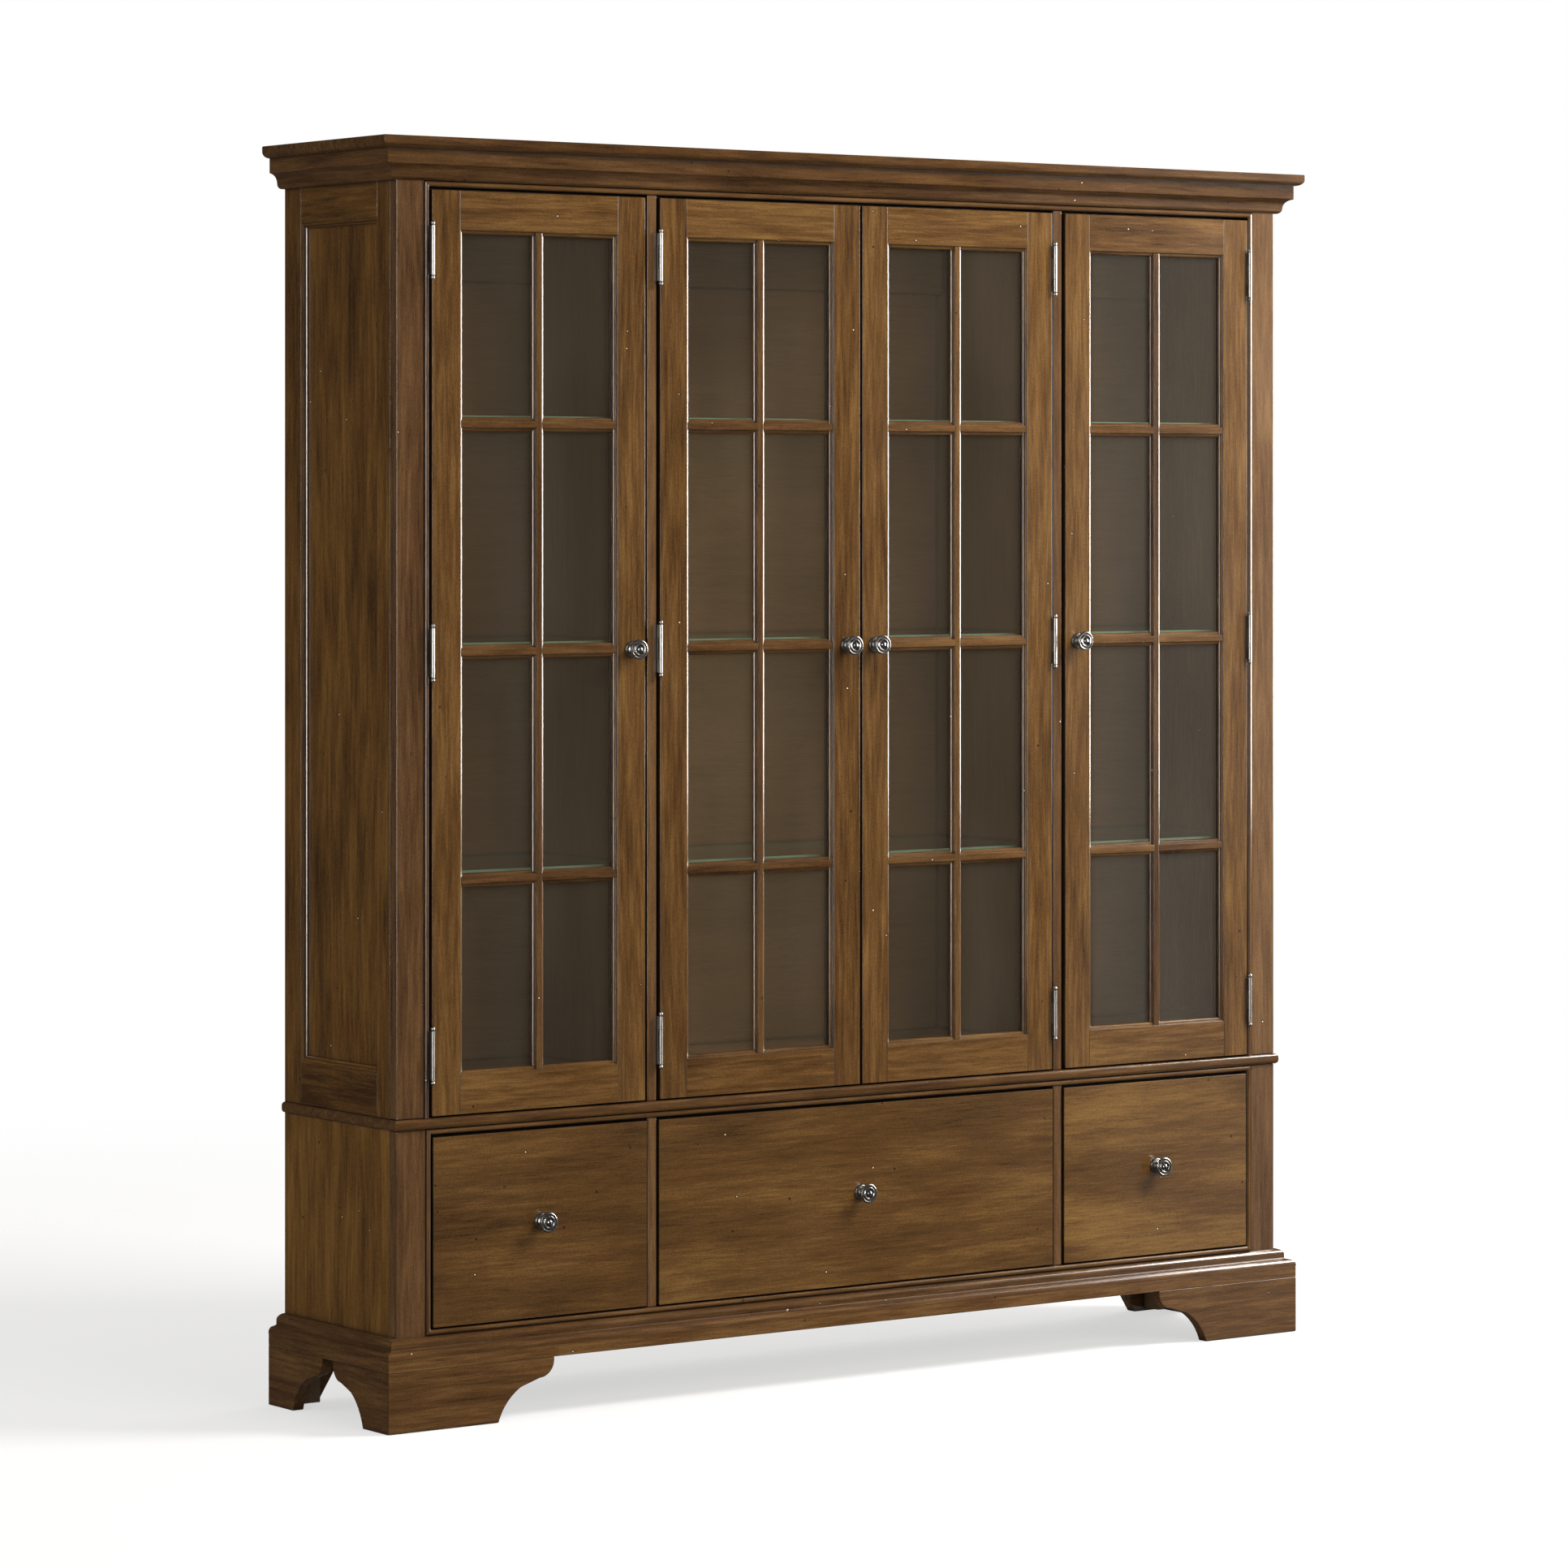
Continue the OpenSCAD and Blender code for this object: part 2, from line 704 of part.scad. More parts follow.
// A knob with its screw. The knob's foot is on Y = 0 and the screw's head is behind the wood.
module knob_and_screw(wood_t) {
    rotate([90, 0, 0]) {
        difference() {
            rotate_extrude($fn = 96) knob_section();
            translate([0, 0, -1]) cylinder(r = screw_r + hole_fit, h = knob_bore_deep + 1, $fn = 32);
        }
        translate([0, 0, -wood_t - screw_head_h]) {
            cylinder(r = screw_head_r, h = screw_head_h, $fn = 32);
            cylinder(r = screw_r, h = screw_head_h + wood_t + knob_bore_deep - 1, $fn = 32);
        }
    }
}

module door_knob(n) {
    color(pewter) on_side(n > 2)
        translate([door_x(n) + door_w(n) - knob_in, front_y, muntin_mid_z]) knob_and_screw(door_t);
}

// ---------------------------------------------------------------- waist and lower case

module waist_board() {
    edge = concat(arc([6, 6], [6, 6], 270, 180, 6), arc([6, waist_t - 6], [6, 6], 180, 90, 6));
    color(wood) edged_board(waist_over, waist_over, waist_bottom_z, waist_t, edge);
}

module lower_sides() {
    color(wood) both_sides()
        block([inner_x, inner_y, base_top_z], [case_x, back_y, waist_bottom_z]);
}

module lower_face_frame() {
    color(wood) {
        both_sides() {
            block([lower_stile_x, face_y, base_top_z], [case_x, inner_y, waist_bottom_z]);
            block([mullion_in, face_y, lower_bead_z + bead_w],
                [mullion_out, inner_y, waist_bottom_z - bead_w]);
        }
        block([seam - lower_stile_x, face_y, base_top_z],
            [lower_stile_x - seam, inner_y, lower_bead_z]);
        block([-inner_x, inner_y + seam, waist_bottom_z - web_t],
            [inner_x, inner_y + web_w, waist_bottom_z]);
    }
}

// Divider panels between the drawers, and the packers that carry the outer slides.
module drawer_dividers() {
    color(inner_wood) both_sides() {
        block([mullion_in, inner_y, lower_floor_z],
            [mullion_out, panel_y, waist_bottom_z - web_t]);
        block([lower_opening_x, channel_y, channel_z - packer_over],
            [inner_x, channel_y + channel_len, channel_z + channel_h + packer_over]);
    }
}

module lower_beads() {
    color(wood) strip_ring([-lower_stile_x, lower_bead_z], [lower_stile_x, waist_bottom_z],
        front_y, bead_w, door_t) bead_section();
}

module lower_floor() {
    color(inner_wood) block([-inner_x, inner_y, lower_floor_z - inner_board_t],
        [inner_x, panel_y, lower_floor_z]);
}

module lower_back_panel() {
    color(inner_wood) block([-inner_x, panel_y, base_top_z],
        [inner_x, panel_y + panel_t, waist_bottom_z]);
}

// Channel on one side of a drawer's bay; the rail on the drawer runs inside it.
module slide_channel() {
    lip = channel_h - channel_t;
    rotate([90, 0, 0]) translate([0, 0, -channel_len]) linear_extrude(height = channel_len)
        polygon([[0, 0], [channel_deep, 0], [channel_deep, channel_t], [channel_t, channel_t],
            [channel_t, lip], [channel_deep, lip], [channel_deep, channel_h], [0, channel_h]]);
}

module case_slide_channels() {
    color(nickel) for (n = [1 : 3]) translate([bay_mid(n), channel_y, channel_z])
        both_sides() translate([-bay_half(n), 0, 0]) slide_channel();
}

// ---------------------------------------------------------------- base

module base_mouldings() {
    section = concat(
        [[0, 0]],
        arc([8, 2], [8, 9], 180, 90),
        [[13.5, 12.5], [14.5, 14]],
        arc([base_side, 20.5], [base_side - 14.5, 9.5], 180, 90),
        [[base_side, 0]]
    );
    color(wood) wrapped_moulding(base_side, base_front, base_top_z) polygon(section);
}

module base_frame() {
    x = case_x + base_side;
    y = face_y - base_front;
    w = base_frame_w;
    color(wood) translate([0, 0, foot_h]) linear_extrude(height = base_frame_t)
        polygon([[seam - x, y], [x - seam, y], [x - w - seam, y + w], [w + seam - x, y + w]]);
    color(wood) both_sides() translate([0, 0, foot_h]) linear_extrude(height = base_frame_t)
        polygon([[-x, y], [w - x, y + w], [w - x, back_y], [-x, back_y]]);
    color(wood) block([w + seam - x, back_y - w, foot_h], [x - w - seam, back_y, base_top_z]);
}

// Outline of a bracket foot with its outer corner at the origin. The inner edge rises in a
// hollow curve, runs nearly level and ends in a rounded ear.
function foot_outline(top_w, curve_w) =
    let (k = curve_w / 104, s = top_w - curve_w)
    concat(
        [[0, 0]],
        arc([s + 87.4 * k, -27.7], [91.6 * k, 91.6], 162.4, 119.7, 10),
        arc([s + 77 * k, foot_h - 4], [27 * k, 27], -90, 0, 8),
        [[top_w, foot_h], [0, foot_h]]
    );

module bracket_feet() {
    x = case_x + base_side;
    y = face_y - base_front;
    side_outline = foot_outline(foot_side_w, 90);
    color(wood) both_sides() {
        intersection() {
            translate([-x, y + foot_t, 0]) rotate([90, 0, 0]) linear_extrude(height = foot_t)
                polygon(foot_outline(foot_front_w, 104));
            linear_extrude(height = foot_h)
                polygon([[seam - x, y], [0, y], [0, y + foot_t], [foot_t + seam - x, y + foot_t]]);
        }
        intersection() {
            translate([-x, y, 0]) rotate([90, 0, 90]) linear_extrude(height = foot_t)
                polygon(side_outline);
            linear_extrude(height = foot_h)
                polygon([[-x, y], [foot_t - x, y + foot_t], [foot_t - x, 0], [-x, 0]]);
        }
        translate([-x, back_y, 0]) mirror([0, 1, 0]) rotate([90, 0, 90])
            linear_extrude(height = foot_t) polygon(side_outline);
        translate([foot_t + seam - x, back_y, 0]) rotate([90, 0, 0]) linear_extrude(height = foot_t)
            polygon([[0, 0], [brace_w / 2, 0], [brace_w, foot_h], [0, foot_h]]);
    }
}

module foot_glue_blocks() {
    x = case_x + base_side - foot_t;
    y0 = face_y - base_front + foot_t;
    y1 = back_y - foot_t;
    for (y = [y0, y1 - glue_block]) color(inner_wood) both_sides()
        block([-x, y, 6], [glue_block - x, y + glue_block, foot_h]);
}

// ---------------------------------------------------------------- drawers

module drawer_front(n) {
    half = bay_half(n) - drawer_gap;
    color(wood) translate([bay_mid(n), 0, 0]) difference() {
        block([-half, front_y, drawer_z], [half, door_back_y, drawer_top_z]);
        translate([0, door_back_y + 1, drawer_knob_z]) rotate([90, 0, 0])
            cylinder(r = screw_r + 0.3, h = door_t + 2, $fn = 32);
    }
}

module drawer_box(n) {
    half = bay_half(n) - slide_room;
    in = half - drawer_side_t;
    y1 = door_back_y + drawer_len;
    z1 = box_z + drawer_side_h;
    color(inner_wood) translate([bay_mid(n), 0, 0]) {
        both_sides() block([in, door_back_y, box_z], [half, y1, z1]);
        block([seam - in, y1 - drawer_side_t, box_z], [in - seam, y1, z1]);
        block([seam - in, door_back_y, box_z + bottom_z_in_box],
            [in - seam, y1 - drawer_side_t - seam, box_z + bottom_z_in_box + bottom_t]);
    }
}

module drawer_slides(n) {
    x0 = channel_t + rail_gap;
    mid = channel_h / 2;
    color(nickel) translate([bay_mid(n), channel_y, channel_z]) both_sides()
        translate([-bay_half(n), channel_len, 0]) rotate([90, 0, 0])
            linear_extrude(height = channel_len) polygon([
                [x0, mid - rail_h / 2], [x0 + rail_t, mid - rail_h / 2],
                [x0 + rail_t, mid - rail_neck_h / 2], [slide_room, mid - rail_neck_h / 2],
                [slide_room, mid + rail_neck_h / 2], [x0 + rail_t, mid + rail_neck_h / 2],
                [x0 + rail_t, mid + rail_h / 2], [x0, mid + rail_h / 2]]);
}

module drawer_knob(n) {
    color(pewter) translate([bay_mid(n), front_y, drawer_knob_z]) knob_and_screw(door_t);
}

top_board();
cornice_mouldings();
upper_face_frame();
upper_beads();
upper_side_frames();
upper_side_panels();
side_panel_mouldings();
ceiling_board();
upper_floor();
partitions();
upper_back_panel();
back_rails();
glass_shelves();
shelf_pins();
case_hinge_leaves();
magnetic_catches();
waist_board();
lower_sides();
lower_face_frame();
drawer_dividers();
lower_beads();
lower_floor();
lower_back_panel();
case_slide_channels();
base_mouldings();
base_frame();
bracket_feet();
foot_glue_blocks();
door_frame(1);  // door_1_frame
door_muntins(1);  // door_1_muntins
door_glass(1);  // door_1_glass
door_fittings(1);  // door_1_fittings
door_knob(1);  // door_1_knob
door_frame(2);  // door_2_frame
door_muntins(2);  // door_2_muntins
door_glass(2);  // door_2_glass
door_fittings(2);  // door_2_fittings
door_knob(2);  // door_2_knob
door_frame(3);  // door_3_frame
door_muntins(3);  // door_3_muntins
door_glass(3);  // door_3_glass
door_fittings(3);  // door_3_fittings
door_knob(3);  // door_3_knob
door_frame(4);  // door_4_frame
door_muntins(4);  // door_4_muntins
door_glass(4);  // door_4_glass
door_fittings(4);  // door_4_fittings
door_knob(4);  // door_4_knob
drawer_front(1);  // drawer_1_front
drawer_box(1);  // drawer_1_box
drawer_slides(1);  // drawer_1_slides
drawer_knob(1);  // drawer_1_knob
drawer_front(2);  // drawer_2_front
drawer_box(2);  // drawer_2_box
drawer_slides(2);  // drawer_2_slides
drawer_knob(2);  // drawer_2_knob
drawer_front(3);  // drawer_3_front
drawer_box(3);  // drawer_3_box
drawer_slides(3);  // drawer_3_slides
drawer_knob(3);  // drawer_3_knob
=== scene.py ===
"""Looks for the china cabinet: materials, edge rounding, small fittings, light and camera.

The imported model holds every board, pane, hinge and knob. This script dresses those nodes and
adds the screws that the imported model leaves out. Metres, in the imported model's own frame.
"""

import json
import math
import random

import bpy
from mathutils import Matrix, Vector


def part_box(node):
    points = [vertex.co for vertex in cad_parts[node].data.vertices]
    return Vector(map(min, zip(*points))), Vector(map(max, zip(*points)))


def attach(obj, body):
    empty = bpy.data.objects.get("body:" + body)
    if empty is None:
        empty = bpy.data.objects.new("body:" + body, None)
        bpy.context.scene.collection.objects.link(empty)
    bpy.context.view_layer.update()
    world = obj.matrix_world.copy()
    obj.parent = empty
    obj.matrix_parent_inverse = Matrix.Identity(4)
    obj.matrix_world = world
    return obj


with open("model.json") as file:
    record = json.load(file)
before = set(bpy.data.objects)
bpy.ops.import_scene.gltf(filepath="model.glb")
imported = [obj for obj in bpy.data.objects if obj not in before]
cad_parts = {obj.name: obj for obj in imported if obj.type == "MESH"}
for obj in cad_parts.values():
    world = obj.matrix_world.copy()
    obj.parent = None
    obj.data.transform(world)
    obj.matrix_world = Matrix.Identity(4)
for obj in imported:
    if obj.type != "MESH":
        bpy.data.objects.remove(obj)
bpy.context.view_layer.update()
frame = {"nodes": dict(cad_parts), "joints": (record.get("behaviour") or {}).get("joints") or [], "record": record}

NODES = frame["nodes"]
DOORS = (1, 2, 3, 4)
LEFT_HUNG_DOORS = (1, 2)
DRAWERS = (1, 2, 3)
SLOT_OF = {s["node"]: s["material_slot"] for s in frame["record"]["subparts"]}


# ------------------------------------------------------------------ shader helpers

CREVICE_SAMPLES = 6


class Shader:
    """A material's node tree, with short calls to add nodes and join them."""

    def __init__(self, name):
        self.material = bpy.data.materials.new(name)
        self.material.use_nodes = True
        self.tree = self.material.node_tree
        self.tree.nodes.clear()
        self.out = self.tree.nodes.new("ShaderNodeOutputMaterial")

    def add(self, kind, settings=None, **inputs):
        """Adds a node. settings are its properties; inputs are values or sockets by name."""
        node = self.tree.nodes.new("ShaderNode" + kind)
        for key, value in (settings or {}).items():
            setattr(node, key, value)
        for key, value in inputs.items():
            self.join(value, node.inputs[key.replace("_", " ")])
        return node

    def join(self, value, socket):
        """Links a socket, or sets a value. A colour of three numbers is made opaque."""
        if isinstance(value, bpy.types.NodeSocket):
            self.tree.links.new(value, socket)
        elif isinstance(value, (tuple, list)) and len(value) < len(socket.default_value):
            socket.default_value = (*value, 1.0)
        else:
            socket.default_value = value

    def maths(self, operation, a, b=None, c=None):
        node = self.add("Math", {"operation": operation})
        for value, socket in zip((a, b, c), node.inputs):
            if value is not None:
                self.join(value, socket)
        return node.outputs[0]

    def vary(self, value, by, strength):
        """value, raised or lowered as by goes over or under a half."""
        return self.maths("MULTIPLY_ADD", self.maths("SUBTRACT", by, 0.5), strength, value)

    def vector(self, operation, a, b):
        node = self.add("VectorMath", {"operation": operation})
        self.join(a, node.inputs[0])
        self.join(b, node.inputs[1])
        return node.outputs["Vector"]

    def noise(self, place, per_metre, detail=2.0, roughness=0.5, distortion=0.0):
        """Noise in 0..1, with about per_metre features in a metre along each axis."""
        where = self.vector("MULTIPLY", place, per_metre)
        node = self.add("TexNoise", Vector=where, Scale=1.0, Detail=detail,
                        Roughness=roughness, Distortion=distortion)
        return node.outputs["Fac"]

    def ramp(self, value, *stops):
        """A colour that depends on value. Each stop is (value, colour)."""
        node = self.add("ValToRGB", Fac=value)
        elements = node.color_ramp.elements
        while len(elements) < len(stops):
            elements.new(1.0)
        for element, (position, colour) in zip(elements, stops):
            element.position = position
            element.color = (*colour, 1.0)
        return node.outputs["Color"]

    def spread(self, value, low, high, to_low=0.0, to_high=1.0):
        """Eases from to_low, where value is low, to to_high, where it is high."""
        node = self.add("MapRange", {"interpolation_type": "SMOOTHSTEP"}, Value=value,
                        From_Min=low, From_Max=high, To_Min=to_low, To_Max=to_high)
        return node.outputs["Result"]

    def mix(self, share, a, b):
        """Colour a with a share of colour b."""
        node = self.add("Mix", {"data_type": "RGBA"}, Factor=share, A=a, B=b)
        return node.outputs["Result"]

    def blend(self, share, a, b):
        """Shader a with a share of shader b."""
        node = self.add("MixShader", Fac=share)
        self.join(a, node.inputs[1])
        self.join(b, node.inputs[2])
        return node.outputs[0]

    def place(self):
        return self.add("TexCoord").outputs["Object"]

    def attribute(self, name):
        return self.add("Attribute", {"attribute_name": name}).outputs["Vector"]

    def crevice(self, distance):
        """1 in the open and towards 0 in corners and gaps narrower than distance."""
        node = self.add("AmbientOcclusion", {"samples": CREVICE_SAMPLES}, Distance=distance)
        return node.outputs["AO"]

    def bump(self, height, depth):
        return self.add("Bump", Height=height, Distance=depth, Strength=1.0).outputs["Normal"]

    def surface(self, shader):
        self.join(shader, self.out.inputs["Surface"])

    def principled(self, **inputs):
        self.surface(self.add("BsdfPrincipled", **inputs).outputs[0])


# ------------------------------------------------------------------ wood

# Features per metre, along the grain and then both ways across it.
BEND = (2.0, 6.0, 6.0)
CLOUDS = (3.5, 9.0, 9.0)
STREAKS = (9.0, 150.0, 150.0)
FIBRES = (26.0, 1100.0, 1100.0)
PORES = (90.0, 1700.0, 1700.0)
MOTTLE = (330.0, 330.0, 330.0)
BAND_STRETCH = 0.16
BEND_REACH = (0.0, 0.020, 0.020)

CLOUD_SHARE = 0.6
FIBRE_STRENGTH = 0.45
MOTTLE_STRENGTH = 0.28
DARK_AT, MIDDLE_AT, LIGHT_AT = 0.22, 0.50, 0.80

# Dark glaze that stays in pores and round nail holes; also the colour of the painted shade in corners and gaps.
GLAZE_AND_PAINTED_SHADE = (0.010, 0.0055, 0.0030)
PORE_GLAZE = 0.35
# How far from a corner or gap the painted shade reaches.
CORNER_SHADE_REACH = 0.011
# Pale colour of the nicks: bare wood with a painted highlight.
BARE_WOOD_AND_HIGHLIGHT = (0.72, 0.60, 0.44)
SPECKS_PER_METRE = 22.0
# Radii of the pale nick with its painted highlight, of the dark ring and of the dent.
NICK_AND_HIGHLIGHT_RADIUS = (0.0010, 0.0017)
RING_RADIUS = (0.0019, 0.0034)
PIT_RADIUS = (0.0010, 0.0028)
PIT_DEPTH = 12.0
GRAIN_DEPTH = 0.000018
WOOD_IOR = 1.50
COAT_ROUGHNESS = 0.09


def wood(name, dark, middle, light, figure=0.35, streak=0.45, tone=0.20, shine=0.20,
         coat=0.30, worn_with_highlights=True, bands_per_metre=26.0):
    """Stained, glazed and lacquered wood. The grain attribute runs along X and holds a
    different offset for each board. figure is the strength of the broad cloudy bands, streak
    that of the narrow ones, and tone that of the difference between boards. shine is the
    roughness under the lacquer coat. Worn wood has pale nicks of bare wood with a painted
    highlight, each in a dark ring. Painted shade darkens corners and gaps towards the glaze."""
    s = Shader(name)
    grain, place = s.attribute("grain"), s.place()

    bend = s.noise(grain, BEND, detail=1.0)
    bent = s.vector("ADD", grain, s.vector("MULTIPLY", bend, BEND_REACH))
    bands = s.noise(bent, (bands_per_metre * BAND_STRETCH, bands_per_metre, bands_per_metre),
                    distortion=0.5)
    clouds = s.noise(grain, CLOUDS)
    streaks = s.noise(bent, STREAKS, detail=3.0, roughness=0.6)
    fibres = s.noise(grain, FIBRES, roughness=0.6)
    mottle = s.noise(place, MOTTLE)
    board = s.add("SeparateXYZ", Vector=s.attribute("board")).outputs["X"]

    value = 0.5
    for part, strength in ((bands, figure), (clouds, figure * CLOUD_SHARE), (streaks, streak),
                           (fibres, FIBRE_STRENGTH), (mottle, MOTTLE_STRENGTH), (board, tone)):
        value = s.vary(value, part, strength)
    colour = s.ramp(value, (DARK_AT, dark), (MIDDLE_AT, middle), (LIGHT_AT, light))

    pores = s.spread(s.noise(grain, PORES, detail=1.0), 0.62, 0.70)
    colour = s.mix(s.maths("MULTIPLY", pores, PORE_GLAZE), colour, GLAZE_AND_PAINTED_SHADE)

    specks = s.add("TexVoronoi", Vector=place, Scale=SPECKS_PER_METRE, Randomness=1.0)
    from_speck = s.maths("DIVIDE", specks.outputs["Distance"], SPECKS_PER_METRE)
    # Each speck: a dark ring of glaze, and in its middle a pale nick of bare wood with a painted highlight.
    if worn_with_highlights:
        colour = s.mix(s.spread(from_speck, *RING_RADIUS, 0.85, 0.0), colour, GLAZE_AND_PAINTED_SHADE)
        colour = s.mix(s.spread(from_speck, *NICK_AND_HIGHLIGHT_RADIUS, 0.90, 0.0), colour, BARE_WOOD_AND_HIGHLIGHT)

    # Painted shade: corners and narrow gaps darken towards the glaze colour, and their lacquer gets rougher.
    painted_corner_shade = s.spread(s.crevice(CORNER_SHADE_REACH), 0.30, 0.92, 0.90, 0.0)
    colour = s.mix(painted_corner_shade, colour, GLAZE_AND_PAINTED_SHADE)

    rough = s.maths("MULTIPLY_ADD", painted_corner_shade, 0.25, s.vary(shine, clouds, 0.16))
    height = s.maths("MULTIPLY_ADD", fibres, 0.6, s.maths("MULTIPLY", pores, -0.8))
    height = s.maths("ADD", s.spread(from_speck, *PIT_RADIUS, -PIT_DEPTH, 0.0), height)
    s.principled(Base_Color=colour, Roughness=rough, Normal=s.bump(height, GRAIN_DEPTH),
                 IOR=WOOD_IOR, Coat_Weight=coat, Coat_Roughness=COAT_ROUGHNESS)
    return s.material


# ------------------------------------------------------------------ glass

PANE_WAVES = (3.0, 3.0, 1.6)
PANE_WAVE_DEPTH = 0.0001
SMEARS = (7.0, 7.0, 2.5)
CLEAN_ROUGHNESS, SMEARED_ROUGHNESS = 0.01, 0.06
FILM_COLOUR = (0.80, 0.64, 0.46)
MIRROR_TINT = (0.95, 0.97, 0.95)
HEAD_ON_SHARE = 0.04
GRIND = (900.0, 40.0, 1400.0)
GRIND_DEPTH = 0.00005
GLASS_IOR = 1.50
EDGE_ALPHA = 0.75


def pane_glass(name, tint, film=0.0):
    """Clear glass that lets light straight through, and mirrors more of it towards grazing
    angles. film is the share of light that the dust and polish on its surface scatter."""
    s = Shader(name)
    place = s.place()
    normal = s.bump(s.noise(place, PANE_WAVES, detail=1.0), PANE_WAVE_DEPTH)
    smear = s.noise(place, SMEARS, detail=3.0)
    rough = s.spread(smear, 0.45, 0.80, CLEAN_ROUGHNESS, SMEARED_ROUGHNESS)
    clear = s.add("BsdfTransparent", Color=tint).outputs[0]
    dust = s.add("BsdfDiffuse", Color=FILM_COLOUR).outputs[0]
    seen = s.blend(s.spread(smear, 0.3, 0.8, film * 0.8, film * 1.3), clear, dust)
    mirror = s.add("BsdfGlossy", Color=MIRROR_TINT, Roughness=rough, Normal=normal).outputs[0]
    edge_on = s.add("LayerWeight", Blend=0.5, Normal=normal).outputs["Facing"]
    share = s.maths("MULTIPLY_ADD", s.maths("POWER", edge_on, 5.0), 1.0 - HEAD_ON_SHARE,
                    HEAD_ON_SHARE)
    s.surface(s.blend(share, seen, mirror))
    return s.material


def glass_edge(name, colour):
    """The ground and polished edge of a glass shelf, which gathers its green."""
    s = Shader(name)
    grind = s.noise(s.place(), GRIND)
    shade = s.ramp(grind, (0.35, [0.6 * c for c in colour]), (0.65, colour))
    s.principled(Base_Color=shade, Roughness=s.spread(grind, 0.3, 0.7, 0.10, 0.28),
                 Normal=s.bump(grind, GRIND_DEPTH), IOR=GLASS_IOR, Alpha=EDGE_ALPHA)
    return s.material


# ------------------------------------------------------------------ metal and plastic

PATINA = (420.0, 420.0, 420.0)
TURNING_LINES = (60.0, 60.0, 900.0)
ROLLING_LINES = (30.0, 900.0, 30.0)
METAL_DEPTH = 0.000010
GRIT = (1500.0, 1500.0, 1500.0)
GRIT_DEPTH = 0.00006
PLASTIC_IOR = 1.46


def metal(name, low, high, painted_shade_colour, rough, crevice_size, scratches=TURNING_LINES):
    """Plated or cast metal: bright where it is rubbed, with painted shade in its grooves and gaps."""
    s = Shader(name)
    place = s.place()
    patina = s.noise(place, PATINA, detail=4.0, roughness=0.65)
    lines = s.noise(place, scratches)
    colour = s.ramp(patina, (0.32, low), (0.68, high))
    # Painted shade: grooves and the gaps between parts darken towards the shade colour.
    painted_groove_shade = s.spread(s.crevice(crevice_size), 0.35, 0.85, 0.85, 0.0)
    colour = s.mix(painted_groove_shade, colour, painted_shade_colour)
    rubbed = s.maths("MULTIPLY_ADD", painted_groove_shade, 0.25, s.vary(rough, patina, 0.22))
    height = s.maths("MULTIPLY_ADD", lines, 0.5, patina)
    s.principled(Base_Color=colour, Metallic=1.0, Roughness=rubbed,
                 Normal=s.bump(height, METAL_DEPTH))
    return s.material


def moulded_plastic(name, colour):
    s = Shader(name)
    grit = s.noise(s.place(), GRIT)
    shade = s.ramp(grit, (0.3, [0.7 * c for c in colour]), (0.7, colour))
    s.principled(Base_Color=shade, Roughness=s.spread(grit, 0.3, 0.7, 0.45, 0.62),
                 Normal=s.bump(grit, GRIT_DEPTH), IOR=PLASTIC_IOR)
    return s.material


# ------------------------------------------------------------------ the materials

# A wood takes its dark, middle and light colour. A metal takes its dull and its rubbed colour,
# the colour of the painted shade in its grooves, its roughness and the width of its grooves.
materials = {
    "frame": wood("frame_wood", (0.044, 0.020, 0.0075), (0.102, 0.0500, 0.0190),
                  (0.175, 0.095, 0.036), figure=0.50, streak=0.65),
    "door": wood("door_wood", (0.036, 0.0155, 0.0045), (0.098, 0.0460, 0.0125),
                 (0.185, 0.098, 0.028), figure=0.45, streak=0.75, tone=0.08),
    "moulding": wood("moulding_wood", (0.034, 0.0145, 0.0050), (0.086, 0.0400, 0.0125),
                     (0.165, 0.085, 0.027), figure=0.35, streak=0.70),
    "drawer": wood("drawer_wood", (0.034, 0.0165, 0.0060), (0.096, 0.0460, 0.0130),
                   (0.200, 0.108, 0.028), figure=0.58, streak=0.40, tone=0.10,
                   bands_per_metre=17.0),
    "side": wood("side_wood", (0.038, 0.0160, 0.0040), (0.104, 0.0470, 0.0100),
                 (0.200, 0.100, 0.022), figure=0.66, streak=0.65),
    "inner": wood("inner_wood", (0.085, 0.048, 0.020), (0.150, 0.088, 0.038),
                  (0.200, 0.122, 0.055), figure=0.30, streak=0.30, worn_with_highlights=False, coat=0.0,
                  shine=0.5),
    "box": wood("drawer_box_wood", (0.260, 0.150, 0.070), (0.420, 0.270, 0.140),
                (0.560, 0.390, 0.220), figure=0.30, streak=0.40, worn_with_highlights=False, shine=0.42,
                coat=0.05),
    "pane": pane_glass("door_glass", (0.94, 0.92, 0.88), film=0.020),
    "shelf": pane_glass("shelf_glass", (0.90, 0.95, 0.92)),
    "shelf_edge": glass_edge("shelf_glass_edge", (0.20, 0.36, 0.28)),
    "pewter": metal("aged_pewter", (0.22, 0.215, 0.205), (0.46, 0.450, 0.430),
                    (0.008, 0.007, 0.006), 0.30, 0.005),
    "nickel": metal("satin_nickel", (0.28, 0.270, 0.25), (0.48, 0.460, 0.43),
                    (0.010, 0.008, 0.006), 0.40, 0.004),
    "steel": metal("zinc_plate", (0.52, 0.53, 0.54), (0.70, 0.71, 0.72),
                   (0.10, 0.10, 0.10), 0.34, 0.006, scratches=ROLLING_LINES),
    "plastic": moulded_plastic("catch_plastic", (0.035, 0.022, 0.014)),
}


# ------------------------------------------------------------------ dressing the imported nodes

KEYS_PER_METRE = 1e5
OFFSET_REACH = 5.0


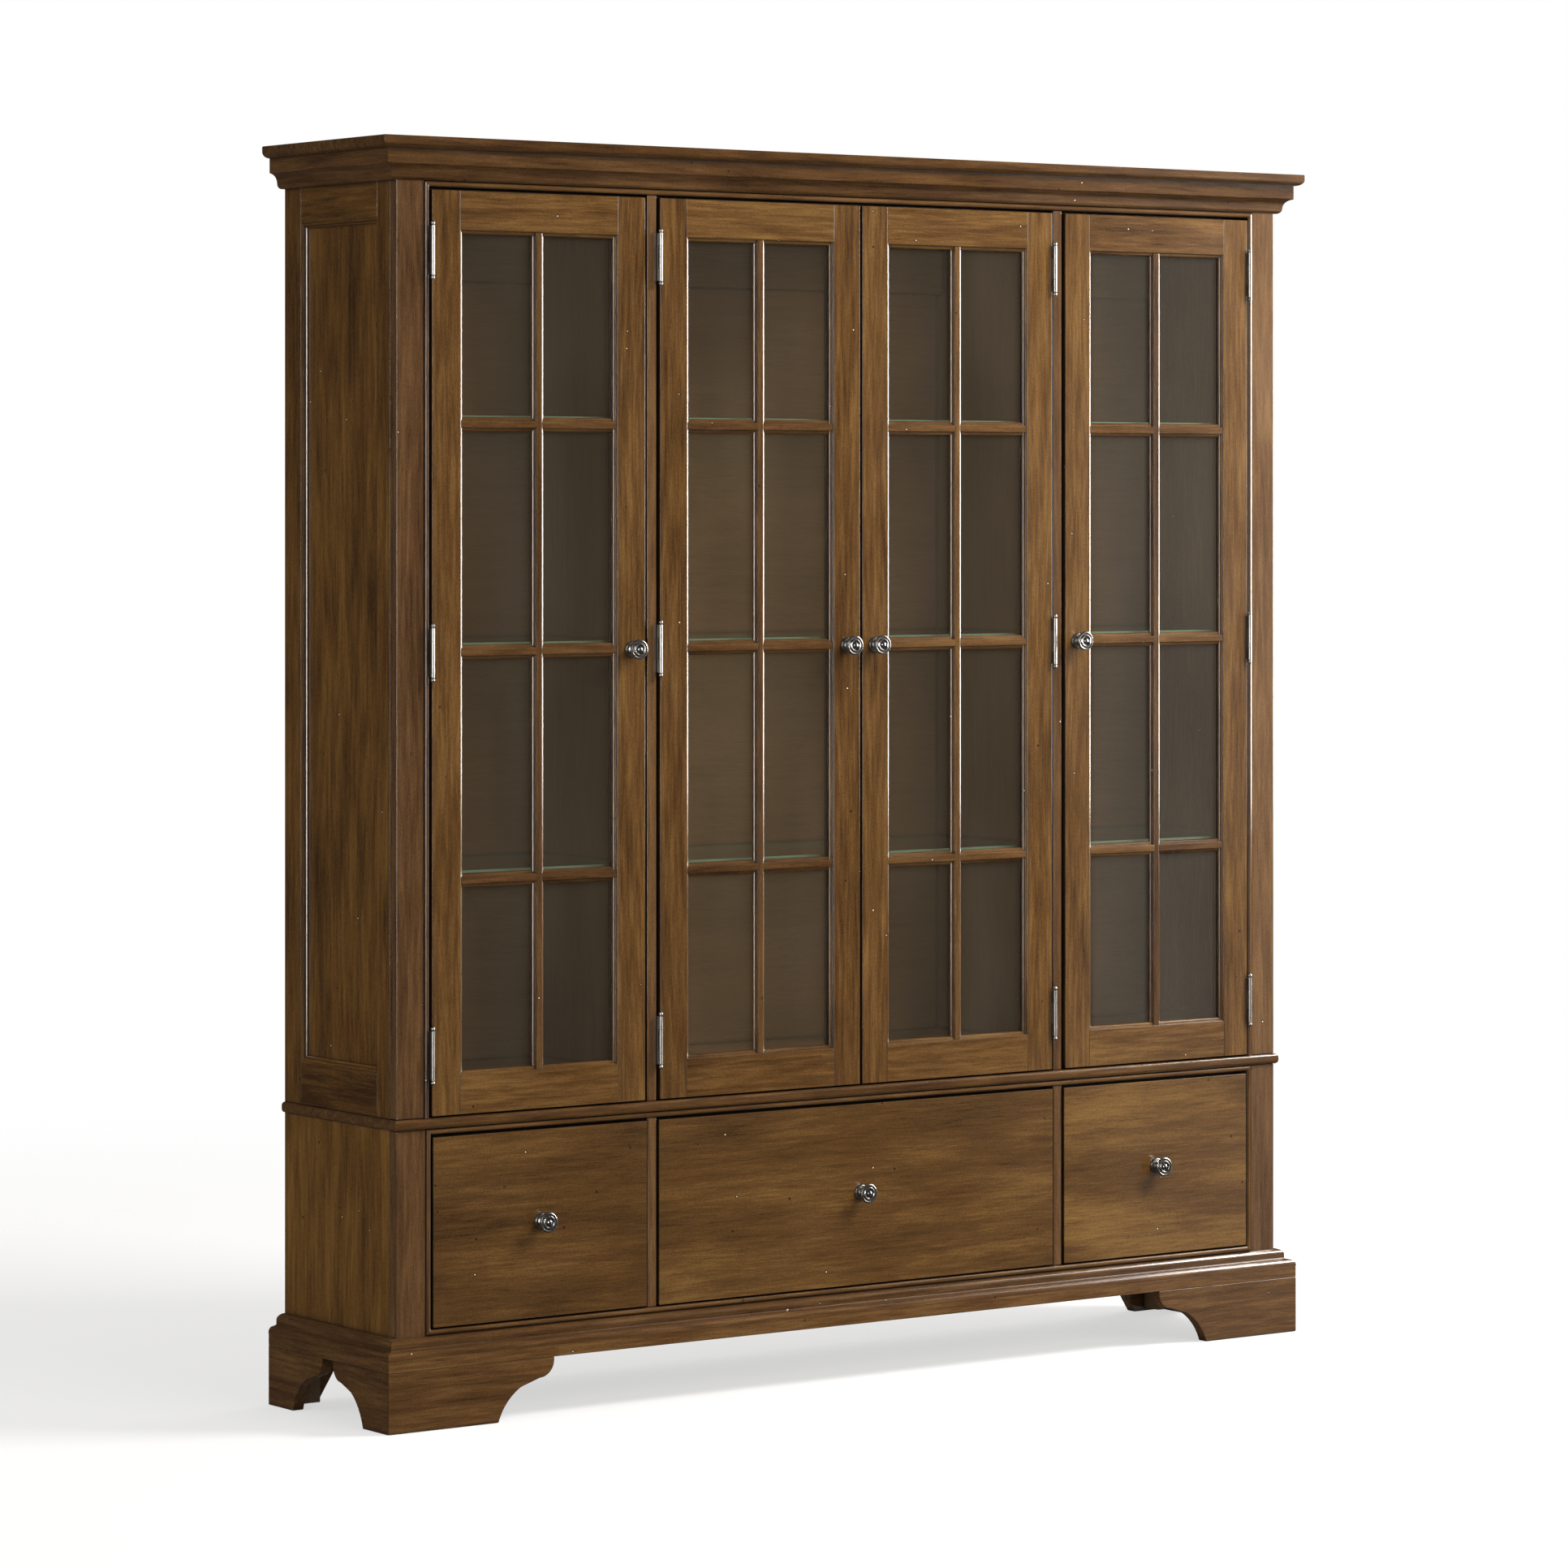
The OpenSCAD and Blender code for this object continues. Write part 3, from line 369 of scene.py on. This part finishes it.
def boards_of(mesh):
    """A board number for each vertex: vertices that share a place or a face are one board."""
    parent = list(range(len(mesh.vertices)))

    def root(i):
        while parent[i] != i:
            parent[i] = parent[parent[i]]
            i = parent[i]
        return i

    at = {}
    for v in mesh.vertices:
        key = tuple(round(c * KEYS_PER_METRE) for c in v.co)
        parent[root(v.index)] = root(at.setdefault(key, v.index))
    for polygon in mesh.polygons:
        first = root(polygon.vertices[0])
        for i in polygon.vertices[1:]:
            parent[root(i)] = first
    return [root(i) for i in range(len(mesh.vertices))]


def write_grain(node):
    """Writes each corner's place along and across its board's grain, with an offset for each
    board, and a tone for each board. The grain follows the board's longest side."""
    mesh = NODES[node].data
    board = boards_of(mesh)
    low, high = {}, {}
    for v, b in zip(mesh.vertices, board):
        low[b] = [min(p) for p in zip(low.get(b, v.co), v.co)]
        high[b] = [max(p) for p in zip(high.get(b, v.co), v.co)]
    chance = random.Random(node)
    order, offset, tone = {}, {}, {}
    for b in sorted(low, key=lambda b: [round(c, 4) for c in low[b]]):
        size = [h - l for l, h in zip(low[b], high[b])]
        first = size.index(max(size))
        order[b] = [first] + [axis for axis in range(3) if axis != first]
        offset[b] = [chance.uniform(-OFFSET_REACH, OFFSET_REACH) for _ in range(3)]
        tone[b] = chance.random()
    grain = mesh.attributes.new("grain", "FLOAT_VECTOR", "CORNER")
    tones = mesh.attributes.new("board", "FLOAT_VECTOR", "CORNER")
    for loop in mesh.loops:
        b = board[loop.vertex_index]
        place = mesh.vertices[loop.vertex_index].co
        grain.data[loop.index].vector = [place[axis] + o for axis, o in zip(order[b], offset[b])]
        tones.data[loop.index].vector = (tone[b], 0.0, 0.0)


def paint(node, kind):
    mesh = NODES[node].data
    mesh.materials.clear()
    mesh.materials.append(materials[kind])


def dress_wood(node, kind):
    write_grain(node)
    paint(node, kind)


WELD_GAP = 2e-5
FLAT_WITHIN_DEG = 0.6
SHARP_FROM_DEG = 50.0
FLAT_FACE_WEIGHT = 80


def soften(node, width):
    """Rounds the sharp edges of a node's boards, inside their own outline. Broad faces stay
    flat and shade smoothly into the rounding."""
    obj = NODES[node]
    polygons = obj.data.polygons
    polygons.foreach_set("use_smooth", [True] * len(polygons))
    weld = obj.modifiers.new("weld", "WELD")
    weld.merge_threshold = WELD_GAP
    flat = obj.modifiers.new("flat_faces", "DECIMATE")
    flat.decimate_type = "DISSOLVE"
    flat.angle_limit = math.radians(FLAT_WITHIN_DEG)
    bevel = obj.modifiers.new("edges", "BEVEL")
    bevel.width = width
    bevel.segments = 2
    bevel.limit_method = "ANGLE"
    bevel.angle_limit = math.radians(SHARP_FROM_DEG)
    bevel.use_clamp_overlap = False
    bevel.miter_outer = "MITER_ARC"
    normals = obj.modifiers.new("normals", "WEIGHTED_NORMAL")
    normals.mode = "FACE_AREA"
    normals.weight = FLAT_FACE_WEIGHT
    normals.keep_sharp = False


# Boards of the case that are not named here are of the inner wood.
WOOD_OF_NODE = {
    "top_board": "moulding", "cornice_mouldings": "moulding", "upper_face_frame": "frame",
    "upper_beads": "moulding", "upper_side_frames": "side", "upper_side_panels": "side",
    "side_panel_mouldings": "side", "waist_board": "moulding", "lower_sides": "side",
    "lower_face_frame": "frame", "lower_beads": "moulding", "base_mouldings": "moulding",
    "base_frame": "moulding", "bracket_feet": "moulding",
}
MATERIAL_OF_SLOT = {"nickel": "nickel", "slide_steel": "steel", "dark_plastic": "plastic"}

EDGE_RADIUS = {
    "upper_face_frame": 0.0018, "lower_face_frame": 0.0018, "upper_side_frames": 0.0008,
    "lower_sides": 0.0008, "bracket_feet": 0.0010, "base_frame": 0.0010, "partitions": 0.0005,
    "upper_floor": 0.0005, "back_rails": 0.0005, "drawer_dividers": 0.0005,
    "foot_glue_blocks": 0.0010, "ceiling_board": 0.0005, "lower_floor": 0.0005,
    "glass_shelves": 0.0006, "magnetic_catches": 0.0008, "top_board": 0.0008,
    "waist_board": 0.0006, "upper_back_panel": 0.0004, "lower_back_panel": 0.0004,
}
# The wooden nodes of each door and drawer: end of the name, material and edge radius.
DOOR_WOOD = (("frame", "door", 0.0007), ("muntins", "moulding", 0.0004))
DRAWER_WOOD = (("front", "drawer", 0.0009), ("box", "box", 0.0008))


def dress_cabinet():
    for node in frame["record"]["behaviour"]["bodies"]["cabinet"]:
        slot = SLOT_OF[node]
        if slot in ("stained_wood", "inner_wood"):
            dress_wood(node, WOOD_OF_NODE.get(node, "inner"))
        elif slot in MATERIAL_OF_SLOT:
            paint(node, MATERIAL_OF_SLOT[slot])
        if node in EDGE_RADIUS:
            soften(node, EDGE_RADIUS[node])


def dress_shelves():
    """The broad faces of the shelves are clear, and their narrow edges are green."""
    paint("glass_shelves", "shelf")
    mesh = NODES["glass_shelves"].data
    mesh.materials.append(materials["shelf_edge"])
    for polygon in mesh.polygons:
        polygon.material_index = 0 if abs(polygon.normal.z) > 0.5 else 1


def dress_doors():
    for n in DOORS:
        for part, kind, radius in DOOR_WOOD:
            dress_wood(f"door_{n}_{part}", kind)
            soften(f"door_{n}_{part}", radius)
        paint(f"door_{n}_glass", "pane")
        paint(f"door_{n}_fittings", "nickel")
        paint(f"door_{n}_knob", "pewter")


def dress_drawers():
    for n in DRAWERS:
        for part, kind, radius in DRAWER_WOOD:
            dress_wood(f"drawer_{n}_{part}", kind)
            soften(f"drawer_{n}_{part}", radius)
        paint(f"drawer_{n}_slides", "steel")
        paint(f"drawer_{n}_knob", "pewter")


dress_cabinet()
dress_shelves()
dress_doors()
dress_drawers()


# ------------------------------------------------------------------ round meshes

def fan(centre, ring, count):
    """Triangles from one vertex to a ring of count vertices."""
    return [(centre, ring + k, ring + (k + 1) % count) for k in range(count)]


def band(inner, outer, count):
    """Four-sided faces between two rings of count vertices."""
    return [(inner + k, outer + k, outer + (k + 1) % count, inner + (k + 1) % count)
            for k in range(count)]


def new_object(name, mesh, material):
    mesh.materials.append(material)
    obj = bpy.data.objects.new(name, mesh)
    bpy.context.scene.collection.objects.link(obj)
    return obj


# ------------------------------------------------------------------ screws

SPOKES = 32
# Shares of a head's radius, and then of its height.
HEAD_RINGS = (0.13, 0.26, 0.40, 0.54, 0.62, 0.70, 0.84, 0.95, 1.0)
CROSS_REACH = 0.62
CROSS_WIDTH = 0.13
CROSS_FLOOR = 0.15

HINGE_SCREW = {"radius": 0.0033, "height": 0.00022, "dome": 0.3}
BACK_SCREW = {"radius": 0.0036, "height": 0.0018, "dome": 0.45}


def head_height(x, y, dome):
    """Height of a screw head over its own seat, as a share, with a cross cut into it."""
    out = math.hypot(x, y)
    in_cross = min(abs(x), abs(y)) < CROSS_WIDTH and max(abs(x), abs(y)) < CROSS_REACH
    return CROSS_FLOOR if in_cross else 1.0 - dome * out ** 3


def screws(name, body, places, material, slot, radius, height, dome):
    """One mesh of screw heads. Each place is where a head sits, the way it faces, and the
    turn of its cross."""
    shape = [(0.0, 0.0, head_height(0.0, 0.0, dome))]
    for ring in HEAD_RINGS:
        for k in range(SPOKES):
            a = 2 * math.pi * (k + 0.5) / SPOKES
            x, y = ring * math.cos(a), ring * math.sin(a)
            shape.append((x, y, head_height(x, y, dome)))
    shape += [(x, y, 0.0) for x, y, _ in shape[-SPOKES:]]

    vertices, faces = [], []
    for at, facing, turn in places:
        turned = facing.to_track_quat("Z", "Y").to_matrix()
        spin = Matrix.Rotation(turn, 3, "Z")
        centre = len(vertices)
        vertices += [at + turned @ (spin @ Vector((x * radius, y * radius, z * height)))
                     for x, y, z in shape]
        first = centre + 1
        faces += fan(centre, first, SPOKES)
        for r in range(len(HEAD_RINGS)):
            faces += band(first + r * SPOKES, first + (r + 1) * SPOKES, SPOKES)
        rim = first + len(HEAD_RINGS) * SPOKES
        faces.append(tuple(rim + k for k in reversed(range(SPOKES))))

    mesh = bpy.data.meshes.new(name)
    mesh.from_pydata(vertices, [], faces)
    mesh.polygons.foreach_set("use_smooth", [True] * len(mesh.polygons))
    obj = new_object(name, mesh, material)
    normals = obj.modifiers.new("normals", "WEIGHTED_NORMAL")
    normals.keep_sharp = False
    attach(obj, body)


# Each screw's depth behind the hinge axis, and its height over the middle of the hinge.
LEAF_SCREWS = ((0.0095, -0.026), (0.0175, 0.0), (0.0095, 0.026))
# How far the screwed faces of each door's leaves stand from the hinge axis.
LEAF_FACE = {1: 0.0004, 2: 0.0009, 3: 0.0009, 4: 0.0004}
HINGE_PITCH = 0.6245


def hinge_screws():
    """Three countersunk screws in each leaf, two leaves to a hinge, three hinges to a door."""
    chance = random.Random("hinge screws")
    in_case = []
    for n in DOORS:
        hinge = next(j for j in frame["joints"] if j["name"] == f"door_{n}_hinge")
        axis = Vector(hinge["pos_m"])
        towards_door = 1.0 if n in LEFT_HUNG_DOORS else -1.0
        in_door = []
        for row in (-1, 0, 1):
            for deep, up in LEAF_SCREWS:
                for side, places in ((1.0, in_door), (-1.0, in_case)):
                    way = side * towards_door
                    at = axis + Vector((way * LEAF_FACE[n], deep, row * HINGE_PITCH + up))
                    places.append((at, Vector((-way, 0.0, 0.0)), chance.uniform(0.0, math.pi)))
        screws(f"door_{n}_screws", f"door_{n}", in_door, materials["nickel"], "nickel",
               **HINGE_SCREW)
    screws("case_hinge_screws", "cabinet", in_case, materials["nickel"], "nickel",
           **HINGE_SCREW)


HALF_BOARD = 0.009
ROW_INSET = 0.03
SCREWS_ACROSS = 11
SCREWS_UP = (("partitions", 7), ("drawer_dividers", 2))


def back_screws():
    """Pan-head screws through the back panels into the boards in front of them: rows across
    into the rails and the floors, and rows up into the partitions and the dividers."""
    chance = random.Random("back screws")
    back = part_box("upper_back_panel")[1][1]
    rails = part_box("back_rails")
    heights = [(rails[0][2] + rails[1][2]) / 2]
    for board in ("upper_floor", "lower_floor"):
        heights.append(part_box(board)[1][2] - HALF_BOARD)
    start, run = rails[0][0] + ROW_INSET, rails[1][0] - rails[0][0] - 2 * ROW_INSET
    spots = [(start + run * k / (SCREWS_ACROSS - 1), z)
             for z in heights for k in range(SCREWS_ACROSS)]
    left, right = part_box("partitions")
    middles = (left[0] + HALF_BOARD, right[0] - HALF_BOARD)
    for node, count in SCREWS_UP:
        low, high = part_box(node)
        spots += [(x, low[2] + (high[2] - low[2]) * (k + 1) / (count + 1))
                  for x in middles for k in range(count)]
    places = [(Vector((x, back, z)), Vector((0.0, 1.0, 0.0)), chance.uniform(0.0, math.pi))
              for x, z in spots]
    screws("back_screws", "cabinet", places, materials["steel"], "slide_steel", **BACK_SCREW)


hinge_screws()
back_screws()


# ------------------------------------------------------------------ stage, light and camera

FLOOR_RADIUS = 4.5
FLOOR_RINGS, FLOOR_SPOKES = 24, 96
FLOOR_DROP = 0.0005
FLOOR_COLOUR = (0.90, 0.90, 0.90)
FADE_FROM, FADE_TO = 1.2, 0.95 * FLOOR_RADIUS
CLEAR_AT_CABINET = 0.60
WHITE = (1.0, 1.0, 1.0)


def floor():
    """A pale round floor that fades into the white surroundings."""
    vertices = [(0.0, 0.0, 0.0)]
    for r in range(1, FLOOR_RINGS + 1):
        for k in range(FLOOR_SPOKES):
            a, d = 2 * math.pi * k / FLOOR_SPOKES, FLOOR_RADIUS * r / FLOOR_RINGS
            vertices.append((d * math.cos(a), d * math.sin(a), 0.0))
    faces = fan(0, 1, FLOOR_SPOKES)
    for r in range(FLOOR_RINGS - 1):
        faces += band(1 + r * FLOOR_SPOKES, 1 + (r + 1) * FLOOR_SPOKES, FLOOR_SPOKES)
    mesh = bpy.data.meshes.new("floor")
    mesh.from_pydata(vertices, [], faces)

    s = Shader("pale_floor")
    away = s.add("VectorMath", {"operation": "LENGTH"})
    s.join(s.place(), away.inputs[0])
    fade = s.spread(away.outputs["Value"], FADE_FROM, FADE_TO, CLEAR_AT_CABINET, 1.0)
    paper = s.add("BsdfDiffuse", Color=FLOOR_COLOUR).outputs[0]
    clear = s.add("BsdfTransparent", Color=WHITE).outputs[0]
    s.surface(s.blend(fade, paper, clear))

    obj = new_object("floor", mesh, s.material)
    obj.location.z = -FLOOR_DROP
    obj.visible_glossy = False


SKY_COLOUR, SKY_STRENGTH = (1.0, 0.98, 0.95), 0.32
MIRRORED_COLOUR, MIRRORED_STRENGTH = (1.0, 0.96, 0.90), 0.04


def surroundings():
    """White to the camera, a soft grey to matt surfaces, and nearly black to shiny ones."""
    world = bpy.data.worlds.new("studio")
    world.use_nodes = True
    bpy.context.scene.world = world
    tree = world.node_tree
    tree.nodes.clear()
    path = tree.nodes.new("ShaderNodeLightPath")

    def background(colour, strength):
        node = tree.nodes.new("ShaderNodeBackground")
        node.inputs["Color"].default_value = (*colour, 1.0)
        node.inputs["Strength"].default_value = strength
        return node.outputs[0]

    def by_ray(kind, others, these):
        node = tree.nodes.new("ShaderNodeMixShader")
        for k, source in enumerate((path.outputs[kind], others, these)):
            tree.links.new(source, node.inputs[k])
        return node.outputs[0]

    lit = by_ray("Is Glossy Ray", background(SKY_COLOUR, SKY_STRENGTH),
                 background(MIRRORED_COLOUR, MIRRORED_STRENGTH))
    out = tree.nodes.new("ShaderNodeOutputWorld")
    tree.links.new(by_ray("Is Camera Ray", lit, background(WHITE, 1.0)), out.inputs["Surface"])


LAMP_COLOUR = (1.0, 0.97, 0.93)
# Name, place, the point it faces, width, height and watts.
MATT_LIGHTS = (
    ("key_right", (2.9, -2.3, 3.9), (0.3, 0.0, 1.2), 1.6, 1.6, 330.0),
    ("wall_right", (3.6, 0.5, 1.7), (0.0, 0.5, 1.5), 5.0, 3.6, 150.0),
    ("fill_front", (0.8, -6.0, 3.0), (0.0, 0.0, 1.0), 3.5, 2.5, 150.0),
    ("fill_left", (-4.6, 0.7, 2.0), (0.0, 0.1, 1.1), 2.5, 3.0, 62.0),
)
SHINE_LIGHTS = (
    ("haze_right", (3.75, -3.0, 1.4), (0.5, 0.0, 1.4), 1.5, 4.6, 7.5),
    ("edge_right", (3.2, -0.85, 1.9), (0.0, -0.85, 1.6), 1.2, 2.3, 290.0),
    ("edge_left", (-3.4, -2.9, 1.7), (-0.3, 0.0, 1.3), 0.5, 3.0, 150.0),
)


def softbox(name, at, towards, width, height, watts, shine):
    """An area light. With shine it is only seen mirrored, and without it only lights matt
    surfaces."""
    light = bpy.data.lights.new(name, "AREA")
    light.shape = "RECTANGLE"
    light.size, light.size_y = width, height
    light.energy = watts
    light.color = LAMP_COLOUR
    obj = bpy.data.objects.new(name, light)
    obj.location = at
    obj.rotation_euler = (Vector(towards) - Vector(at)).to_track_quat("-Z", "Y").to_euler()
    obj.visible_camera = False
    obj.visible_diffuse = not shine
    obj.visible_glossy = shine
    bpy.context.scene.collection.objects.link(obj)


def lights():
    """Four broad lights shape the faces. Three others only put the shine on the lacquer, the
    rounded edges and the metal."""
    for row in MATT_LIGHTS:
        softbox(*row, shine=False)
    for row in SHINE_LIGHTS:
        softbox(*row, shine=True)


CAMERA_AT = (-5.4216, -7.4837, 1.4413)
CAMERA_TURN_DEG = (90.0, 0.0, -35.699)
LENS_MM, SENSOR_MM = 127.87, 36.0
PICTURE_SHIFT = -0.1824


def camera():
    """The photograph's viewpoint: left of the cabinet, level, with the picture shifted down."""
    data = bpy.data.cameras.new("camera")
    data.lens = LENS_MM
    data.sensor_width = SENSOR_MM
    data.shift_y = PICTURE_SHIFT
    obj = bpy.data.objects.new("camera", data)
    obj.location = CAMERA_AT
    obj.rotation_euler = [math.radians(turn) for turn in CAMERA_TURN_DEG]
    bpy.context.scene.collection.objects.link(obj)
    bpy.context.scene.camera = obj


floor()
surroundings()
lights()
camera()
bpy.context.scene.view_settings.view_transform = "Standard"
